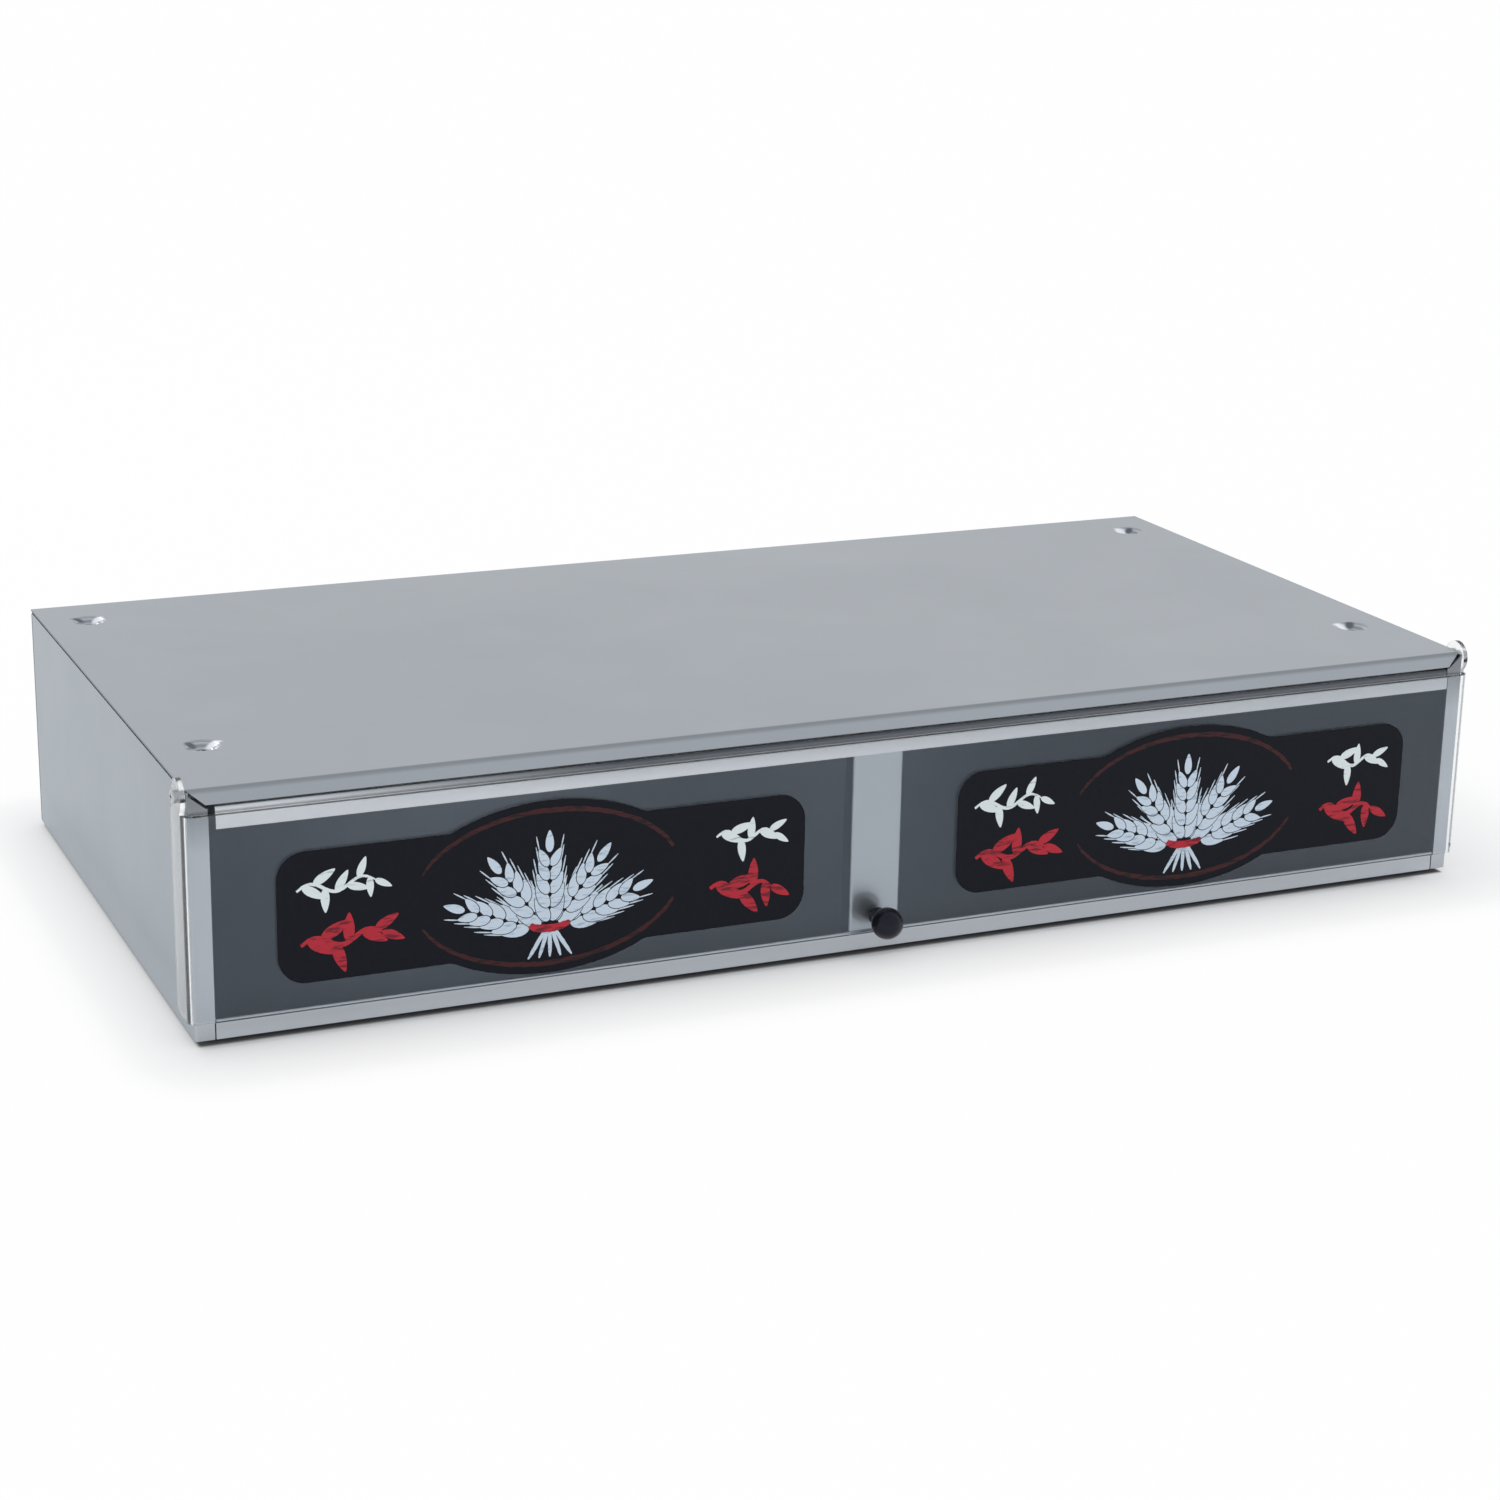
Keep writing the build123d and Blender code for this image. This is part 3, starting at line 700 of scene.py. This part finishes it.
# Rim of the print: a thin dark red oval of two brushed arcs around the middle of the label. The
# print is laid out in millimetres from there, and each shape lies one step higher for every face
# drawn before it. A stroke has its half width, its number of steps and how rough its edges are.
millimetre = 0.001
shape_step = 0.0006
ink_thickness = 0.00006
ink_lift = 0.00002
ink_roughness = 0.55
ink_mirror_level = 0.2
ink_relief = 0.2
ink_depth = 0.00004
bristle_lean = (0, 0.35, 0)
bristle_stretch = (90, 90, 520)
streak_edge = 0.10
stroke_start = 0.08
stroke_thinnest = 0.35
stroke_look = 0.01
rim_colour = (0.055, 0.014, 0.016, 1)
rim_worn_colour = (0.015, 0.010, 0.012, 1)
rim_cover = 0.50
rim_oval = (88, 50)
rim_arcs = ((20, 160), (340, 200))
rim_stroke = (1.6, 60, 0.3)

dry_brush, start, end = new_group(
    "dry_brush",
    {"Place": "Vector", "Ink": "Color", "Worn": "Color", "Cover": "Float"},
    {"Colour": "Color", "Height": "Float"},
)
stretch = add_node(dry_brush, "ShaderNodeMapping", Rotation=bristle_lean, Scale=bristle_stretch)
bristles = add_node(dry_brush, "ShaderNodeTexNoise", Scale=1.0, Detail=3.0, Roughness=0.6)
worn_through = add_node(dry_brush, "ShaderNodeMapRange")
worn_fully = combine(dry_brush, "ADD", start.outputs["Cover"], streak_edge)
colour = add_node(dry_brush, "ShaderNodeMix", (300, 0), data_type="RGBA")
link(
    dry_brush,
    (start.outputs["Place"], stretch.inputs["Vector"]),
    (stretch.outputs[0], bristles.inputs["Vector"]),
    (bristles.outputs[0], end.inputs["Height"]),
    (bristles.outputs[0], worn_through.inputs["Value"]),
    (start.outputs["Cover"], worn_through.inputs["From Min"]),
    (worn_fully, worn_through.inputs["From Max"]),
    (worn_through.outputs[0], colour.inputs["Factor"]),
    (start.outputs["Ink"], colour.inputs["A"]),
    (start.outputs["Worn"], colour.inputs["B"]),
    (colour.outputs["Result"], end.inputs["Colour"]),
)


def ink(name, colour, worn, cover):
    """Printed ink with dry brush streaks, where the darker ground shows through."""
    tones = {"Ink": colour, "Worn": worn, "Cover": cover}
    material = finish(name, dry_brush, ink_relief, ink_depth, **tones)
    surface_of(material).inputs["Roughness"].default_value = ink_roughness
    surface_of(material).inputs["Specular IOR Level"].default_value = ink_mirror_level
    return material


def arc(half_long, half_high, first, last):
    """Part of an oval, between two angles in degrees."""

    def line(t):
        turn = math.radians(first + (last - first) * t)
        return Vector((half_long * math.cos(turn), half_high * math.sin(turn)))

    return line


def brush(mesh, line, half_width, steps, rough):
    """A brush stroke along line(t), for t from 0 to 1. It starts full and ends in a thin tip."""
    height = len(mesh.faces) * shape_step
    grown = bmesh.ops.create_grid(mesh, x_segments=steps, y_segments=1, size=0.5)
    for vertex in grown["verts"]:
        t = min(max(vertex.co.x + 0.5, 0.0), 1.0)
        side = 1 if vertex.co.y > 0 else -1
        ahead = (line(min(t + stroke_look, 1)) - line(max(t - stroke_look, 0))).normalized()
        across = Vector((-ahead.y, ahead.x))
        swell = math.sin(math.pi * min(stroke_start + (1 - stroke_start) * t, 1.0)) ** 0.5
        fullness = stroke_thinnest + (1 - stroke_thinnest) * swell
        edge = line(t) + across * side * (half_width * fullness + random.uniform(-rough, rough))
        vertex.co = (edge.x, edge.y, height)


def print_on_label(label, name, mesh, *inks, thickness=ink_thickness):
    """Lays flat shapes on the face of a label as a thin closed layer of ink."""
    low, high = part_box(label)
    middle_x, middle_z = (low[0] + high[0]) / 2, (low[2] + high[2]) / 2
    printed = mesh.verts[:]
    for vertex in printed:
        x, z, above = vertex.co * millimetre
        vertex.co = (middle_x + x, low[1] - thickness - above, middle_z + z)
    bmesh.ops.extrude_face_region(mesh, geom=mesh.faces[:], use_keep_orig=True)
    for vertex in printed:
        vertex.co.y = low[1] - ink_lift
    bmesh.ops.recalc_face_normals(mesh, faces=mesh.faces[:])
    data = bpy.data.meshes.new(label + name)
    mesh.to_mesh(data)
    mesh.free()
    for ink_used in inks:
        data.materials.append(ink_used)
    piece = bpy.data.objects.new(label + name, data)
    scene.collection.objects.link(piece)
    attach(piece, "door")


rim_ink = ink("rim_ink", rim_colour, rim_worn_colour, rim_cover)


def print_rim(label):
    """The two arcs of the rim."""
    mesh = bmesh.new()
    for rim_arc in rim_arcs:
        brush(mesh, arc(*rim_oval, *rim_arc), *rim_stroke)
    print_on_label(label, "_rim", mesh, rim_ink)


# Wheat sheaf of the print: five ears and their straws in pale ink, fanned out from the tie. Each
# ear has its lean in degrees and its distance from the tie, and carries kernels in pairs, with a
# fine awn on each. The dark of the label outlines every kernel.
pale_colour = (0.64, 0.74, 0.85, 1)
pale_worn_colour = (0.42, 0.52, 0.62, 1)
pale_cover = 0.56
sheaf_tie = Vector((0, -27))
sheaf_flatness = 0.6
sheaf_ears = ((160, 14), (20, 14), (127, 8), (53, 8), (90, 8))
ear_pairs = 5
ear_spacing = 9.0
ear_shrink = 0.35
kernel_length = 18
kernel_width = 9.0
kernel_outline = 0.55
kernel_offset = 1.1
kernel_lean = 0.48
kernel_lean_spread = 0.05
top_kernel_length = 0.8
top_kernel_width = 0.7
awn_length = 12
awn_lean = 0.2
awn_stroke = (0.45, 3, 0.05)
straw_leans = (-12, -6, 0, 6, 12)
straw_spread_at_tie = 0.2
straw_length = 19
straw_stroke = (1.3, 8, 0.15)
drop_sides = 18
drop_taper = 0.55


def heading(angle):
    """The direction that leans by an angle from the right."""
    return Vector((math.cos(angle), math.sin(angle)))


def drop(mesh, foot, angle, length, width, margin=0.0):
    """A drop that stands on its foot and leans by an angle, as a kernel or a leaf does."""
    height = len(mesh.faces) * shape_step
    grown = bmesh.ops.create_circle(mesh, cap_ends=True, segments=drop_sides, radius=0.5)
    for vertex in grown["verts"]:
        along, over = vertex.co.x + 0.5, vertex.co.y
        over *= (1.0 - drop_taper * along**2) * (width + 2 * margin)
        along = along * (length + 2 * margin) - margin
        turned = Matrix.Rotation(angle, 2) @ Vector((along, over))
        vertex.co = (foot.x + turned.x, foot.y + turned.y, height)
    return grown["verts"][0].link_faces[0]


def kernel(mesh, foot, angle, length, width):
    """One kernel: a pale drop over a slightly larger one in the second ink, which outlines it."""
    drop(mesh, foot, angle, length, width, kernel_outline).material_index = 1
    drop(mesh, foot, angle, length, width)


def wheat_ear(mesh, foot, angle):
    """One ear: pairs of kernels up its spine, each pair a little smaller, and one at its top."""
    for pair in range(ear_pairs):
        shrink = 1.0 - ear_shrink * pair / ear_pairs
        joint = foot + heading(angle) * ear_spacing * pair
        for side in (-1, 1):
            spread = random.uniform(-kernel_lean_spread, kernel_lean_spread)
            lean = angle + side * (kernel_lean + spread)
            sideways = Vector((-math.sin(angle), math.cos(angle))) * side
            start = joint + sideways * kernel_offset
            kernel(mesh, start, lean, kernel_length * shrink, kernel_width * shrink)
            tip = start + heading(lean) * kernel_length * shrink
            awn = heading(angle + side * awn_lean) * awn_length * shrink
            brush(mesh, lambda t, tip=tip, awn=awn: tip + awn * t, *awn_stroke)
    top = foot + heading(angle) * ear_spacing * ear_pairs
    kernel(mesh, top, angle, kernel_length * top_kernel_length, kernel_width * top_kernel_width)


def straw(lean):
    """The line of one straw, from the tie down and to one side."""
    return lambda t: Vector((lean * (straw_spread_at_tie + t), sheaf_tie.y - straw_length * t))


pale_ink = ink("pale_ink", pale_colour, pale_worn_colour, pale_cover)


def print_sheaf(label):
    """The ears and the straws."""
    mesh = bmesh.new()
    for turn, reach in sheaf_ears:
        angle = math.radians(turn)
        foot = sheaf_tie + Vector((math.cos(angle), sheaf_flatness * math.sin(angle))) * reach
        wheat_ear(mesh, foot, angle)
    for lean in straw_leans:
        brush(mesh, straw(lean), *straw_stroke)
    print_on_label(label, "_wheat", mesh, pale_ink, label_ground)


# Tie of the sheaf: one brushed red band across the straws, which follows the front of an oval. It
# is printed in a thicker layer of ink, so that it covers them.
red_colour = (0.50, 0.028, 0.046, 1)
red_worn_colour = (0.17, 0.018, 0.028, 1)
red_cover = 0.52
tie_oval = (14, 5)
tie_arc = (200, 340)
tie_stroke = (2.6, 24, 0.2)
tie_drop = -22
tie_thickness = 0.0004

red_ink = ink("red_ink", red_colour, red_worn_colour, red_cover)


def print_tie(label):
    """The band of the tie."""
    mesh = bmesh.new()
    brush(mesh, arc(*tie_oval, *tie_arc), *tie_stroke)
    bmesh.ops.translate(mesh, verts=mesh.verts[:], vec=(0, tie_drop, 0))
    print_on_label(label, "_tie", mesh, red_ink, thickness=tie_thickness)


# Vines of the print: leafy stems at both ends of the label, white ones above red ones, brushed in
# one wave each. A stem has its two ends and its number of leaves, and a leaf its length and width.
white_colour = (0.80, 0.87, 0.87, 1)
white_worn_colour = (0.45, 0.50, 0.52, 1)
white_cover = 0.60
vine_height = 3.5
vine_rises = 1.5
leaf_look = 0.02
leaf_lean = 0.95
leaf_lean_spread = 0.12
leaf_shrink = 0.25
last_leaf = 0.7
white_stems = (((-161, 17), (-112, 19), 7), ((112, 19), (152, 17), 6))
white_stroke = (1.1, 80, 0.15)
white_leaf = (17, 7.0)
red_stems = (((-159, -18), (-108, -15), 6), ((108, -15), (150, -18), 5))
red_stroke = (1.7, 80, 0.15)
red_leaf = (22, 9.5)


def wave(start, end):
    """A line that rolls up and down between two points."""
    turns = 2 * math.pi * vine_rises
    start, end = Vector(start), Vector(end)
    return lambda t: start.lerp(end, t) + Vector((0, vine_height * math.sin(turns * t)))


def vine(mesh, line, stroke, leaves, leaf_length, leaf_width):
    """A brushed stem with leaves to both sides in turn, and a last one at its tip."""
    brush(mesh, line, *stroke)
    for leaf in range(leaves):
        t = (leaf + 0.5) / leaves
        ahead = (line(min(t + leaf_look, 1)) - line(t)).normalized()
        side = 1 if leaf % 2 else -1
        spread = random.uniform(-leaf_lean_spread, leaf_lean_spread)
        lean = math.atan2(ahead.y, ahead.x) + side * (leaf_lean + spread)
        shrink = 1 - leaf_shrink * t
        drop(mesh, line(t), lean, leaf_length * shrink, leaf_width * shrink)
    lean = math.atan2(ahead.y, ahead.x)
    drop(mesh, line(1), lean, leaf_length * last_leaf, leaf_width * last_leaf)


white_ink = ink("white_ink", white_colour, white_worn_colour, white_cover)


def print_vines(label, name, stems, stroke, leaf, vine_ink):
    """The stems of one colour."""
    mesh = bmesh.new()
    for low_end, high_end, leaves in stems:
        vine(mesh, wave(low_end, high_end), stroke, leaves, *leaf)
    print_on_label(label, name, mesh, vine_ink)


# The print on both labels: the same design, piece by piece, one label after the other. The edges
# and the leans of its strokes differ a little, as they do by hand.
random.seed(41)
for label in ("left_label", "right_label"):
    print_rim(label)
    print_sheaf(label)
    print_tie(label)
    print_vines(label, "_white_vine", white_stems, white_stroke, white_leaf, white_ink)
    print_vines(label, "_red_vine", red_stems, red_stroke, red_leaf, red_ink)
